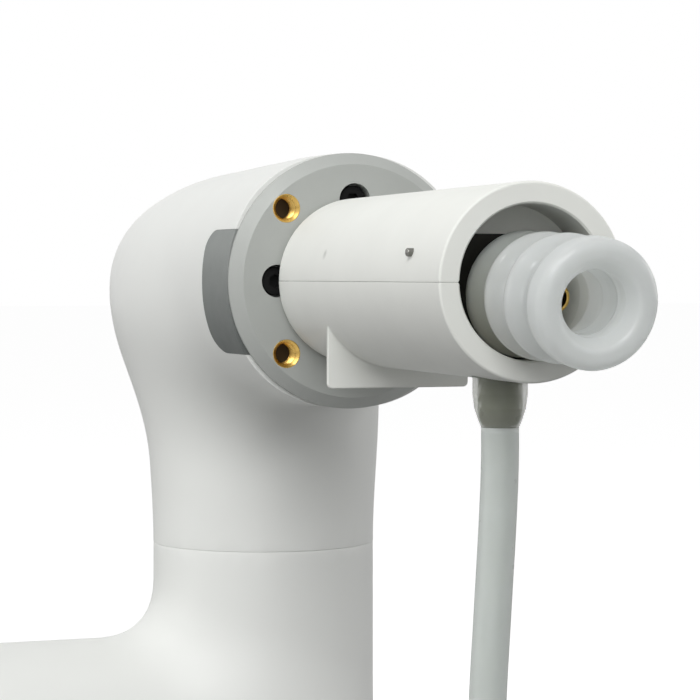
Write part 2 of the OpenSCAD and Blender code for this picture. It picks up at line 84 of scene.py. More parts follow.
# The tool flange.
BOSS_R = FLANGE_R - 2.6
BOSS_BACK = 4
FACE_PROUD = 3.6
CENTRING_R = 15.75
CENTRE_HOLE_R = 3.05
CENTRE_FLOOR = -1.2
INSERT_R = 3.5
INSERT_PCD = 50
INSERT_FLOOR = -3
SCREW_PCD = 40
SCREW_SEAT = -0.6
SCREW_SEAT_R = 4
SCREW_HOLE_R = 2.05

# The gripper body, its plate, its pins and its pips.
BODY_END = 110.3
BODY_REAR_R = 20.2
BODY_FRONT_R = 20.7
BODY_BORE_R = 16.1
FOOT_HALF_W = 17.6
FOOT_DROP = 24.9
FOOT_T = 3.2
FOOT_RIM = 1.0
FOOT_REAR_HALF_W = 15.4
FOOT_REAR_SHORTER = 0.87
FOOT_ROOT = 8
FOOT_AT = 33.7
PORT_AT = 93.4
PORT_HOLE_R = 6.2
MANIFOLD_TOP = 10
WEB_AT = 98
PIN_R = 0.9
PIN_RISE = 6.2
PIN_AT = 92.6
PIN_PROUD = 1.2
PIN_ROOT = 13
PIP_AT = 36.7
PIP_R = 1.5
SINK_R = 2.6
SINK_OUT = BODY_REAR_R + 2.65

# The cup and the hose.
CUP_DROP = 2.6
CUP_LEAN = 2.2
LIP_TILT = 8
FOLD_R = 13.1
FOLD_DEPTH = 2.3
FOLD_FIRST = 5.7
FOLD_PITCH = 9.7
LIP_R = 13
LIP_BACK = 24.9
LIP_DEPTH = 6.8
MOUTH_R = 6.8
NECK_R = 3.35
HOSE_R = 4

# The turning seams and their seals.
SEAL_INSET = 0.2
POST_SEAL_INSET = 0.06
SEAL_TOP = SEAM_GAP - 0.04
SEAM_EDGE = 0.2
POST_SEAM_EDGE = 0.1

# The floor's height, in metres.
FLOOR_Z = -0.27

# The hose's centreline below the barb, in metres.
HOSE_ROUTE = [
    (0.125, -0.1639, 0.0974), (0.125, -0.1639, 0.091), (0.1248, -0.1639, 0.084),
    (0.1243, -0.1639, 0.074), (0.1237, -0.1639, 0.064), (0.1231, -0.1639, 0.054),
    (0.1225, -0.1639, 0.044), (0.1219, -0.1638, 0.03), (0.1212, -0.1636, 0.014),
    (0.1205, -0.1634, -0.004), (0.1199, -0.163, -0.024), (0.1194, -0.1626, -0.046),
    (0.119, -0.1622, -0.07), (0.1188, -0.1618, -0.094), (0.1187, -0.1614, -0.118),
    (0.1187, -0.161, -0.142), (0.1187, -0.161, -0.166), (0.1187, -0.161, -0.184)]


# ---------- places: local frames of the part, in millimetres ----------
def turn(axis, degrees):
    return Matrix.Rotation(math.radians(degrees), 4, axis)


def shift(x=0, y=0, z=0):
    return Matrix.Translation((x, y, z))


FLANGE = shift(REACH_X, -FLANGE_REACH, AXIS_RISE) @ turn("X", 90)
JOINT5 = shift(REACH_X, 0, AXIS_RISE)
POST = shift(REACH_X, 0, 0)
ARM_END = turn("Y", 90)
CUP = FLANGE @ shift(0, -CUP_DROP, BODY_END) @ turn("X", CUP_LEAN)
PORT = FLANGE @ shift(0, 0, PORT_AT) @ turn("X", 90)


# ---------- mesh helpers ----------
def rounded(*corners, per_quarter=4):
    """Points of a closed outline of (r, z) corners; a third number rounds the corner."""
    points = []
    count = len(corners)
    for i, corner in enumerate(corners):
        here = Vector(corner[:2])
        if len(corner) == 2:
            points.append(tuple(here))
            continue
        back = (Vector(corners[i - 1][:2]) - here).normalized()
        on = (Vector(corners[(i + 1) % count][:2]) - here).normalized()
        half = back.angle(on) / 2
        reach = corner[2] / math.tan(half)
        centre = here + (back + on).normalized() * corner[2] / math.sin(half)
        start, end = here + back * reach - centre, here + on * reach - centre
        sweep = start.angle_signed(end)
        steps = max(2, round(per_quarter * abs(sweep) / (math.pi / 2)))
        for k in range(steps + 1):
            a = -sweep * k / steps
            c, s = math.cos(a), math.sin(a)
            points.append((
                centre.x + start.x * c - start.y * s,
                centre.y + start.x * s + start.y * c))
    return points


def turned(outline, steps=128, closed=True):
    """A solid turned about Z from an outline of (radius, height)."""
    bm = bmesh.new()
    verts = [bm.verts.new((r, 0, z)) for r, z in outline]
    ends = verts[1:] + verts[:1] if closed else verts[1:]
    edges = [bm.edges.new(pair) for pair in zip(verts, ends)]
    bmesh.ops.spin(
        bm, geom=verts + edges, cent=(0, 0, 0), axis=UP, angle=math.tau, steps=steps, use_merge=True)
    bmesh.ops.remove_doubles(bm, verts=bm.verts, dist=1e-4)
    bmesh.ops.recalc_face_normals(bm, faces=bm.faces)
    return bm


def disc(r, low, high, steps=64):
    """A plain closed cylinder along Z, used to cut with."""
    bm = bmesh.new()
    bmesh.ops.create_cone(
        bm, cap_ends=True, segments=steps, radius1=r, radius2=r, depth=high - low,
        matrix=shift(z=(low + high) / 2))
    return bm


def block(low, high):
    bm = bmesh.new()
    size = Vector(high) - Vector(low)
    middle = (Vector(high) + Vector(low)) / 2
    bmesh.ops.create_cube(bm, size=1, matrix=shift(*middle) @ Matrix.Diagonal((*size, 1)))
    return bm


def moved(bm, place):
    bm.transform(place)
    return bm


def joined(*parts):
    """One bmesh that holds several."""
    whole = bmesh.new()
    for part in parts:
        mesh = bpy.data.meshes.new("part")
        part.to_mesh(mesh)
        part.free()
        whole.from_mesh(mesh)
        bpy.data.meshes.remove(mesh)
    return whole


def plain_object(bm):
    mesh = bpy.data.meshes.new("work")
    bm.to_mesh(mesh)
    bm.free()
    obj = bpy.data.objects.new("work", mesh)
    bpy.context.scene.collection.objects.link(obj)
    return obj


def boolean(bm, *others, operation="DIFFERENCE"):
    """bm cut by, joined to or kept inside the others."""
    target = plain_object(bm)
    tools = [plain_object(other) for other in others]
    for tool in tools:
        cut = target.modifiers.new("cut", "BOOLEAN")
        cut.operation, cut.solver, cut.object = operation, "EXACT", tool
    shape = target.evaluated_get(bpy.context.evaluated_depsgraph_get())
    result = bmesh.new()
    result.from_mesh(shape.data)
    for obj in (target, *tools):
        mesh = obj.data
        bpy.data.objects.remove(obj)
        bpy.data.meshes.remove(mesh)
    return result


def soften(bm, width, segments, where=None):
    """Rounds the sharp edges, or those of them that where picks."""
    limit = math.radians(30)
    sharp = [
        e for e in bm.edges
        if len(e.link_faces) == 2 and e.calc_face_angle(0) > limit and (not where or where(e))]
    bmesh.ops.bevel(
        bm, geom=sharp, offset=width, segments=segments, profile=0.5, affect="EDGES", material=-1,
        clamp_overlap=True)
    return bm


def extruded(bm, rim):
    """Extrudes open edges and returns their new points and the new rim."""
    made = bmesh.ops.extrude_edge_only(bm, edges=rim)["geom"]
    verts = {v for v in made if isinstance(v, bmesh.types.BMVert)}
    return verts, [e for e in made if isinstance(e, bmesh.types.BMEdge) and verts.issuperset(e.verts)]


def rim_step(bm, rim, origin, axis, inset, advance):
    """Extrudes an open rim, then moves it inwards and along the axis."""
    verts, rim = extruded(bm, rim)
    for v in verts:
        offset = v.co - origin
        along = offset.dot(axis)
        radial = offset - along * axis
        v.co = origin + radial.normalized() * (radial.length - inset) + axis * (along + advance)
    return rim


def cut_open(bm, origin, axis):
    """Cuts off what lies beyond a plane and returns the open rim."""
    geom = bm.verts[:] + bm.edges[:] + bm.faces[:]
    cut = bmesh.ops.bisect_plane(bm, geom=geom, plane_co=origin, plane_no=axis, dist=1e-5, clear_outer=True)
    return [e for e in cut["geom_cut"] if isinstance(e, bmesh.types.BMEdge)]


def close_with_lip(bm, origin, axis, lip):
    """Cuts at a plane, rounds the new edge and closes the end."""
    steps = 4
    rim = cut_open(bm, origin - axis * lip, axis)
    past = (0.0, 0.0)
    for k in range(1, steps + 1):
        a = math.pi / 2 * k / steps
        now = (lip * (1 - math.cos(a)), lip * math.sin(a))
        rim = rim_step(bm, rim, origin, axis, now[0] - past[0], now[1] - past[1])
        past = now
    bmesh.ops.edgeloop_fill(bm, edges=rim)


def piece(name, bm, place, look, body, stands_for=(), crease=32, weighted=True):
    """Links a finished mesh, given in millimetres in a local frame, as one piece of the object."""
    bm.transform(Matrix.Scale(MM, 4) @ place)
    mesh = bpy.data.meshes.new(name)
    bm.to_mesh(mesh)
    bm.free()
    mesh.shade_smooth()
    mesh.set_sharp_from_angle(angle=math.radians(crease))
    mesh.materials.append(look)
    obj = bpy.data.objects.new(name, mesh)
    bpy.context.scene.collection.objects.link(obj)
    if weighted:
        obj.modifiers.new("weighted", "WEIGHTED_NORMAL").keep_sharp = True
    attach(obj, body)
    if stands_for:
        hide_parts(*stands_for)
    return obj


# ---------- finishes ----------
class Finish:
    """A material of one Principled shader with small helpers for its nodes."""

    def __init__(self, name, colour, roughness, metallic=0.0, specular=0.5):
        self.material = bpy.data.materials.new(name)
        self.material.use_nodes = True
        self.tree = self.material.node_tree
        self.shader = self.tree.nodes["Principled BSDF"]
        self.colour = colour
        self.set(Roughness=roughness, Metallic=metallic)
        self.shader.inputs["Base Color"].default_value = (*colour, 1)
        self.shader.inputs["Specular IOR Level"].default_value = specular
        self.place = self.node("ShaderNodeTexCoord").outputs["Object"]

    def set(self, **values):
        for key, value in values.items():
            self.shader.inputs[key.replace("_", " ")].default_value = value

    def node(self, kind, **settings):
        made = self.tree.nodes.new(kind)
        for key, value in settings.items():
            setattr(made, key, value)
        return made

    def link(self, a, b):
        self.tree.links.new(a, b)

    def noise(self, size_mm, detail, stretch=(1, 1, 1)):
        """Noise whose features are about size_mm wide."""
        mapping = self.node("ShaderNodeMapping")
        mapping.inputs["Scale"].default_value = stretch
        self.link(self.place, mapping.inputs["Vector"])
        texture = self.node("ShaderNodeTexNoise")
        texture.inputs["Scale"].default_value = 1 / (size_mm * MM)
        texture.inputs["Detail"].default_value = detail
        self.link(mapping.outputs["Vector"], texture.inputs["Vector"])
        return texture.outputs["Fac"]

    def span(self, value, from_low, from_high, to_low, to_high):
        part = self.node("ShaderNodeMapRange")
        ends = {"From Min": from_low, "From Max": from_high, "To Min": to_low, "To Max": to_high}
        for key, number in ends.items():
            part.inputs[key].default_value = number
        self.link(value, part.inputs["Value"])
        return part.outputs["Result"]

    def patches(self, size_mm, low, high):
        """A value that drifts between low and high across the surface."""
        return self.span(self.noise(size_mm, 3), 0.3, 0.7, low, high)

    def mottle(self, size_mm, amount):
        """Shifts the colour's brightness gently across the surface."""
        mix = self.node("ShaderNodeMix", data_type="RGBA")
        mix.inputs["A"].default_value = (*(c * (1 - amount) for c in self.colour), 1)
        mix.inputs["B"].default_value = (*(min(c * (1 + amount), 1) for c in self.colour), 1)
        self.link(self.patches(size_mm, 0, 1), mix.inputs["Factor"])
        self.link(mix.outputs["Result"], self.shader.inputs["Base Color"])
        return self

    def bump(self, height, depth_mm, strength):
        part = self.node("ShaderNodeBump")
        part.inputs["Strength"].default_value = strength
        part.inputs["Distance"].default_value = depth_mm * MM
        self.link(height, part.inputs["Height"])
        self.link(part.outputs["Normal"], self.shader.inputs["Normal"])
        return self

    def uneven_gloss(self, size_mm, low, high):
        self.link(self.patches(size_mm, low, high), self.shader.inputs["Roughness"])
        return self


def mixed(finish, other, share):
    """Mixes a second shader in by a fixed share."""
    mix = finish.node("ShaderNodeMixShader")
    mix.inputs["Fac"].default_value = share
    finish.link(finish.shader.outputs["BSDF"], mix.inputs[1])
    finish.link(other.outputs["BSDF"], mix.inputs[2])
    finish.link(mix.outputs["Shader"], finish.tree.nodes["Material Output"].inputs["Surface"])
    return finish


def see_through(finish, share):
    """Lets a share of the light straight through, as a thin milky wall does."""
    return mixed(finish, finish.node("ShaderNodeBsdfTransparent"), share)


def let_through(finish, share, colour):
    """Passes a share of the light on softly, as a thick milky wall does."""
    soft = finish.node("ShaderNodeBsdfTranslucent")
    soft.inputs["Color"].default_value = (*colour, 1)
    return mixed(finish, soft, share)


def paint(name, colour):
    made = Finish(name, colour, 0.42, specular=0.3).mottle(35, 0.012).uneven_gloss(6, 0.38, 0.46)
    return made.bump(made.noise(1.1, 3), 0.02, 0.5).material


def moulded(
        name, colour, roughness, grain_mm=0.35, depth_mm=0.02, specular=0.5,
        painted_shade_below=None, painted_shade_spots=None):
    """Moulded plastic or rubber; the last two paint shade on it: a darker grade along Z and a darker spot on
    both flanks.
    """
    made = Finish(name, colour, roughness, specular=specular).mottle(18, 0.015)
    made.uneven_gloss(4, roughness - 0.05, roughness + 0.06)
    if painted_shade_below:
        graded(made, "Z", *painted_shade_below)
    if painted_shade_spots:
        painted_shade_spot(made, *painted_shade_spots)
    return made.bump(made.noise(grain_mm, 4), depth_mm, 0.6).material


def blasted_metal(name, colour, metallic):
    made = Finish(name, colour, 0.5, metallic).mottle(9, 0.02).uneven_gloss(2.5, 0.44, 0.56)
    return made.bump(made.noise(0.22, 3), 0.015, 0.7).material


def machined_metal(name, colour, roughness):
    made = Finish(name, colour, roughness, metallic=1.0).mottle(5, 0.05)
    made.uneven_gloss(1.5, roughness - 0.07, roughness + 0.09)
    return made.bump(made.noise(0.5, 3, stretch=(1, 1, 6)), 0.006, 0.6).material


def silicone(name, colour, roughness, scatter_mm, specular=0.5):
    made = Finish(name, colour, roughness, specular=specular).mottle(7, 0.015)
    made.uneven_gloss(3, roughness - 0.05, roughness + 0.08)
    made.set(Subsurface_Weight=1.0, Subsurface_Scale=scatter_mm * MM, IOR=1.41)
    made.shader.inputs["Subsurface Radius"].default_value = (1.0, 1.0, 0.95)
    made.bump(made.noise(1.6, 2), 0.008, 0.4)
    return made


def faded(finish, share, colour):
    """Mixes another colour, a value or a socket, into the base colour by a socket's share."""
    mix = finish.node("ShaderNodeMix", data_type="RGBA")
    finish.link(share, mix.inputs["Factor"])
    finish.link(finish.shader.inputs["Base Color"].links[0].from_socket, mix.inputs["A"])
    if isinstance(colour, bpy.types.NodeSocket):
        finish.link(colour, mix.inputs["B"])
    else:
        mix.inputs["B"].default_value = (*colour, 1)
    finish.link(mix.outputs["Result"], finish.shader.inputs["Base Color"])
    return finish


def share_along(finish, axis, start, end):
    """A value that rises from 0 to 1 along an axis, from start to end in metres."""
    place = finish.node("ShaderNodeSeparateXYZ")
    finish.link(finish.place, place.inputs["Vector"])
    return finish.span(place.outputs[axis], start, end, 0, 1)


def graded(finish, axis, start, end, colour):
    """Fades to another colour along an axis, from start to end in metres."""
    return faded(finish, share_along(finish, axis, start, end), colour)


def painted_shade_spot(finish, y, z, radius, strength, colour):
    """A painted shade spot, darker, at one place on both flanks, in metres."""
    flat = finish.node("ShaderNodeVectorMath", operation="MULTIPLY")
    flat.inputs[1].default_value = (0, 1, 1)
    finish.link(finish.place, flat.inputs[0])
    away = finish.node("ShaderNodeVectorMath", operation="DISTANCE")
    away.inputs[1].default_value = (0, y, z)
    finish.link(flat.outputs["Vector"], away.inputs[0])
    return faded(finish, finish.span(away.outputs["Value"], 0.2 * radius, radius, strength, 0), colour)


def painted_shade_at_root(finish, upper, lower):
    """Painted shade: fades darker towards the root of the cup, which lies in the dark body; its underside is
    painted the darker.
    """
    underside, topside, shade_ends, shade_full = 0.117, 0.134, -0.191, -0.1765
    root_shade = finish.node("ShaderNodeMix", data_type="RGBA")
    root_shade.inputs["A"].default_value, root_shade.inputs["B"].default_value = (*lower, 1), (*upper, 1)
    finish.link(share_along(finish, "Z", underside, topside), root_shade.inputs["Factor"])
    return graded(finish, "Y", shade_ends, shade_full, root_shade.outputs["Result"])


HOUSING_PAINT = paint("housing_paint", (0.78, 0.79, 0.765))
FLANGE_GREY = blasted_metal("flange_grey_anodised", (0.415, 0.43, 0.41), 0.12)
SEAL_RUBBER = moulded("seal_grey_rubber", (0.5, 0.51, 0.49), 0.6)
POST_SEAL_RUBBER = moulded("seal_white_rubber", (0.78, 0.79, 0.765), 0.6)
# Painted shade: a darker spot on both flanks at the sink marks over the pips.
BODY_PLASTIC = moulded(
    "body_warm_white_plastic", (0.82, 0.83, 0.79), 0.5, specular=0.3,
    painted_shade_spots=(-(FLANGE_REACH + PIP_AT) * MM, (AXIS_RISE + PIN_RISE) * MM, 0.0014, 0.75, (0.5, 0.51, 0.48)))
DARK_PLASTIC = moulded("dark_plastic", (0.018, 0.018, 0.014), 0.6, specular=0.2)
BARB_PLASTIC = moulded("barb_olive_plastic", (0.06, 0.06, 0.045), 0.4)
RING_PLASTIC = moulded("release_ring_plastic", (0.14, 0.2, 0.27), 0.3)
BRASS = machined_metal("turned_brass", (0.62, 0.41, 0.12), 0.28)
BLACK_STEEL = moulded("black_oxide_steel", (0.008, 0.008, 0.008), 0.65, specular=0.15)
STEEL = machined_metal("ground_steel", (0.6, 0.61, 0.63), 0.22)
PIN_STEEL = machined_metal("dark_pin_steel", (0.2, 0.2, 0.185), 0.15)
COPPER = machined_metal("varnished_copper", (0.72, 0.33, 0.16), 0.3)
BOARD = moulded("circuit_board", (0.02, 0.14, 0.06), 0.35)
# The lens is painted darker towards its bottom: painted shade.
WINDOW = moulded(
    "window_smoked_lens", (0.27, 0.285, 0.275), 0.55, grain_mm=0.8, depth_mm=0.004, specular=0.2,
    painted_shade_below=(0.137, 0.108, (0.12, 0.13, 0.125)))
# Painted shade: a dark brown for the bottoms of the threaded holes, where shade falls.
HOLE_FLOOR_SHADE = moulded("painted_shade_hole_floor", (0.11, 0.065, 0.02), 0.6)
# Painted shade for the cup's root: the upper colour on its top, the darker lower colour on its underside.
CUP_ROOT_SHADE = {"upper": (0.43, 0.46, 0.43), "lower": (0.33, 0.33, 0.25)}
CUP_SILICONE = let_through(
    painted_shade_at_root(silicone("cup_milky_silicone", (0.67, 0.69, 0.69), 0.13, 6, 0.8), **CUP_ROOT_SHADE),
    0.5, (0.81, 0.82, 0.81)).material
HOSE_SILICONE = see_through(silicone("hose_milky_silicone", (0.62, 0.66, 0.63), 0.32, 3), 0.12).material
SLEEVE_SILICONE = see_through(silicone("sleeve_clear_silicone", (0.42, 0.44, 0.36), 0.3, 2), 0.55).material


# ---------- blended castings ----------
def smooth_min(a, b, softness):
    h = np.maximum(softness - np.abs(a - b), 0) / softness
    return np.minimum(a, b) - h * h * softness / 4


def ease(v):
    c = np.clip(v, 0, 1)
    return c * c * (3 - 2 * c)


def wrist_surface(p):
    """Negative inside the wrist casting; p is measured from the crossing of the joint axes."""
    x, y, z = p.T
    t = np.maximum(y + REAR_REACH, 0) / (2 * REAR_REACH)
    half_w = FLANGE_R + (BARREL_HALF_W - FLANGE_R) * ease((y + FLANGE_REACH) / BARREL_WIDENS_OVER)
    across = np.abs(x) / half_w
    upward = np.abs(z + BARREL_SAG * t) / FLANGE_R
    q = (across**BARREL_POWER + upward**BARREL_POWER) ** (1 / BARREL_POWER)
    barrel = FLANGE_R * ((q**DOME_POWER + t**DOME_POWER) ** (1 / DOME_POWER) - 1)
    column_r = COLUMN_R + COLUMN_FLARE * ease((z + SEAM_DROP) / COLUMN_FLARES_OVER)
    column = np.sqrt(x * x + y * y + np.maximum(z - COLUMN_TOP, 0) ** 2) - column_r
    side_width, front_edge, front_width, tighter = 12, 12, 8, 0.7
    front_right = 0.25 * (1 + np.tanh(x / side_width)) * (1 - np.tanh((y - front_edge) / front_width))
    return smooth_min(barrel, column, BLEND * (1 - tighter * front_right))


def forearm_surface(p):
    """Negative inside the forearm casting; p is measured from the joint 5 axis at the arm's height."""
    x, y, z = p.T
    arm = np.sqrt(np.maximum(x - ARM_STOP, 0) ** 2 + y * y + z * z) - FLANGE_R
    post = np.sqrt(x * x + y * y) - COLUMN_R
    return smooth_min(arm, post, ARM_BLEND)


def cast_shape(surface, centre, reach, poles):
    """A ball whose points are moved out to the surface, at most reach from the centre."""
    bm = bmesh.new()
    bmesh.ops.create_uvsphere(bm, u_segments=144, v_segments=108, radius=1, matrix=poles)
    away = np.array([v.co.normalized() for v in bm.verts])
    low, high = np.zeros(len(away)), np.full(len(away), float(reach))
    for _ in range(30):
        middle = (low + high) / 2
        inside = surface(np.array(centre) + away * middle[:, None]) < 0
        low, high = np.where(inside, middle, low), np.where(inside, high, middle)
    for v, direction, length in zip(bm.verts, away, low):
        v.co = Vector(centre) + Vector(direction) * length
    return bm


def window_outline(grow):
    """The status window's outline, open at the front, run out through the barrel's left flank."""
    bm = bmesh.new()
    back, front, low, high, corner_r, reach = -18.5 - grow, 4, -18 - grow, 12.7 + grow, 5, 60
    corners = [(back, low, corner_r), (front, low), (front, high), (back, high, corner_r)]
    face = bm.faces.new([bm.verts.new((0, y, x)) for x, y in rounded(*corners, per_quarter=8)])
    made = bmesh.ops.extrude_face_region(bm, geom=[face])["geom"]
    bmesh.ops.translate(bm, vec=(-reach, 0, 0), verts=[v for v in made if isinstance(v, bmesh.types.BMVert)])
    bmesh.ops.recalc_face_normals(bm, faces=bm.faces)
    return bm


def window_block(inner_r, grow):
    """The window's space on the flange's axis, from inner_r outwards past the casting."""
    outer_r, back, front = 40, -30, 1
    shell = turned([(inner_r, back), (outer_r, back), (outer_r, front), (inner_r, front)], 256)
    return moved(boolean(window_outline(grow), shell, operation="INTERSECT"), JOINT5.inverted() @ FLANGE)


def wrist_skin():
    """The wrist casting's outside, closed with a fine rounded edge at both turning seams."""
    bm = cast_shape(wrist_surface, (0, 0, -6), 180, turn("X", 90))
    close_with_lip(bm, Vector((0, SEAM_GAP - FLANGE_REACH, 0)), Vector((0, -1, 0)), SEAM_EDGE)
    close_with_lip(bm, Vector((0, 0, -SEAM_DROP)), -UP, POST_SEAM_EDGE)
    return bm


def make_wrist():
    to_joint5 = JOINT5.inverted() @ FLANGE
    bm = boolean(
        wrist_skin(),
        moved(disc(BOSS_R + 0.3, -BOSS_BACK - 0.4, 1, 128), to_joint5),
        moved(disc(TOOL_BORE_R, -TOOL_BORE_DEPTH, 1, 96), to_joint5),
        disc(JOINT5_BORE_R, -SEAM_DROP - 1, JOINT5_BORE_TOP, 96),
        window_block(WINDOW_FLOOR_R, 0))
    piece(
        "wrist_casting", bm, JOINT5, HOUSING_PAINT, "wrist", ["wrist_housing"],
        weighted=False)
    lens = boolean(wrist_skin(), window_block(WINDOW_FLOOR_R + 0.02, -0.05), operation="INTERSECT")
    piece("status_lens", lens, JOINT5, WINDOW, "wrist", ["status_window"])


def seal_ring(inner_r, outer_r):
    """A seal that stands on z = 0 and all but fills its seam."""
    return turned(rounded((inner_r, 0), (outer_r, 0), (outer_r, SEAL_TOP, 0.1), (inner_r, SEAL_TOP)), 192)


def make_seals():
    ring = seal_ring(BOSS_R + 0.4, FLANGE_R - SEAL_INSET)
    place = FLANGE @ shift(z=-SEAM_GAP)
    piece("joint6_seal_ring", ring, place, SEAL_RUBBER, "wrist", ["j6_seal"])
    ring = seal_ring(JOINT5_BORE_R + 1, COLUMN_R - POST_SEAL_INSET)
    place = JOINT5 @ shift(z=-SEAM_DROP - SEAM_GAP)
    piece("joint5_seal_ring", ring, place, POST_SEAL_RUBBER, "forearm", ["j5_seal"])


def make_forearm():
    end_lip, face_at, bore_from, bore_to, passage_from = 0.4, 10, 9, 87, 80
    bm = cast_shape(forearm_surface, (0, 0, 2), 220, turn("Y", 90))
    close_with_lip(bm, Vector((0, 0, AXIS_RISE - SEAM_DROP - SEAM_GAP)), UP, POST_SEAM_EDGE)
    close_with_lip(bm, Vector((0, 0, -POST_FOOT)), -UP, end_lip)
    close_with_lip(bm, Vector((face_at - REACH_X, 0, 0)), Vector((-1, 0, 0)), end_lip)
    to_post = POST.inverted() @ ARM_END
    bm = boolean(
        bm,
        disc(JOINT5_BORE_R, -POST_FOOT - 1, AXIS_RISE, 96),
        moved(disc(ARM_BORE_R, bore_from, bore_to, 96), to_post),
        moved(disc(ARM_CABLE_R, passage_from, REACH_X, 48), to_post))
    piece(
        "forearm_casting", bm, POST, HOUSING_PAINT, "forearm", ["forearm_housing"],
        weighted=False)


# ---------- screws and holes ----------
def around(count, pcd, first=0.0):
    return [turn("Z", first + 360 * i / count) @ shift(pcd / 2) for i in range(count)]


INSERTS = around(4, INSERT_PCD, 45)
SCREWS = around(4, SCREW_PCD)


def cap_screw():
    """A socket cap screw with its head's seat at the origin and its head upwards."""
    head_r, head_h, shank_r, length, socket_r = 3.5, 2.6, 2, 12, 1.75
    knurls, knurl_depth = 36, 0.12
    outline = rounded((0, 0), (head_r, 0, 0.15), (head_r, head_h, 0.45), (0, head_h), per_quarter=3)
    head = turned(outline, knurls * 2, closed=False)
    for v in head.verts:
        r = math.hypot(v.co.x, v.co.y)
        groove = round(math.atan2(v.co.y, v.co.x) / math.pi * knurls) % 2
        if groove and r > head_r * 0.97 and 0.3 < v.co.z < head_h - 0.5:
            v.co.x *= 1 - knurl_depth / r
            v.co.y *= 1 - knurl_depth / r
    head = boolean(head, disc(socket_r, head_h * 0.45, head_h + 1, 6))
    outline = [(0, -length), (shank_r - 0.4, -length), (shank_r, -length + 0.5), (shank_r, 0.02), (0, 0.02)]
    return joined(head, turned(outline, 32, closed=False))


def many(make, places):
    return joined(*(moved(make(), place) for place in places))


# ---------- tool flange ----------
def make_flange():
    bm = turned(rounded(
        (CENTRE_HOLE_R, -BOSS_BACK), (BOSS_R, -BOSS_BACK, 0.3), (BOSS_R, 0), (FLANGE_R, 0, 0.15),
        (FLANGE_R, 0.9, 0.25), (FLANGE_R - 2.8, FACE_PROUD, 0.35), (CENTRING_R, FACE_PROUD, 0.3),
        (CENTRING_R, CENTRE_FLOOR), (CENTRE_HOLE_R, CENTRE_FLOOR)), 192)
    bm = boolean(
        bm,
        *(moved(disc(INSERT_R, INSERT_FLOOR, 6, 48), p) for p in INSERTS),
        *(moved(disc(SCREW_SEAT_R, SCREW_SEAT, 6, 48), p) for p in SCREWS),
        *(moved(disc(SCREW_HOLE_R, -5, 0, 32), p) for p in SCREWS))
    mouths = [(p.translation, INSERT_R) for p in INSERTS] + [(p.translation, SCREW_SEAT_R) for p in SCREWS]

    def at_mouth(edge):
        return all(
            abs(v.co.z - FACE_PROUD) < 0.01 and any(abs((v.co - c).xy.length - r) < 0.05 for c, r in mouths)
            for v in edge.verts)

    soften(bm, 0.25, 2, where=at_mouth)
    # The bottoms of the insert holes take the painted shade of the second material.
    for face in bm.faces:
        centre = face.calc_center_median()
        if abs(centre.z - INSERT_FLOOR) < 0.01 and abs(centre.xy.length - INSERT_PCD / 2) < INSERT_R:
            face.material_index = 1
    flange = piece("flange_disc", bm, FLANGE, FLANGE_GREY, "tool", ["tool_flange"], crease=25)
    flange.data.materials.append(HOLE_FLOOR_SHADE)


def threaded_insert():
    """A brass insert with an M6 thread."""
    pitch, turns, steps = 1.0, 4.5, 32
    mouth, mouth_r, bore_r, root_r, crest_r = FACE_PROUD - 0.02, 3.3, 2.55, 3.05, 2.5
    sleeve = turned(rounded(
        (3.0, INSERT_FLOOR), (INSERT_R, INSERT_FLOOR), (INSERT_R, mouth, 0.08), (mouth_r, mouth, 0.05),
        (bore_r, FACE_PROUD - 0.8), (bore_r, FACE_PROUD - 1), (3.0, FACE_PROUD - 1.3)), 64)
    ridge = bmesh.new()
    section = ((root_r, 0, -0.46), (crest_r, 0, -0.08), (crest_r, 0, 0.08), (root_r, 0, 0.46))
    face = ridge.faces.new([ridge.verts.new(p) for p in section])
    bmesh.ops.spin(
        ridge, geom=[face], cent=(0, 0, 0), axis=UP, dvec=(0, 0, pitch / steps), angle=math.tau * turns,
        steps=round(steps * turns))
    bmesh.ops.recalc_face_normals(ridge, faces=ridge.faces)
    return joined(sleeve, moved(ridge, shift(z=INSERT_FLOOR + 0.6)))


def make_flange_hardware():
    inserts = many(threaded_insert, INSERTS)
    piece("brass_threaded_inserts", inserts, FLANGE, BRASS, "tool", ["threaded_inserts"])
    screws = many(cap_screw, [p @ shift(z=SCREW_SEAT) for p in SCREWS])
    piece("flange_cap_screws", screws, FLANGE, BLACK_STEEL, "tool", ["flange_screws"])


# ---------- gripper body ----------
def body_tube():
    return turned(rounded(
        (BODY_BORE_R, FACE_PROUD + 0.05), (BODY_REAR_R, FACE_PROUD + 0.05, 2), (BODY_FRONT_R, BODY_END, 0.6),
        (BODY_BORE_R + 0.35, BODY_END, 0.1), (BODY_BORE_R, BODY_END - 0.4)), 192)


def half_of_tube(upper):
    bm = body_tube()
    side, gap = (1 if upper else -1), 0.03
    rim = cut_open(bm, Vector((0, side * gap, 0)), Vector((0, -side, 0)))
    bmesh.ops.holes_fill(bm, edges=rim)
    bmesh.ops.recalc_face_normals(bm, faces=bm.faces)
    bmesh.ops.bevel(
        bm, geom=rim, offset=0.09, segments=2, profile=0.5, affect="EDGES", material=-1, clamp_overlap=True)
    return bm


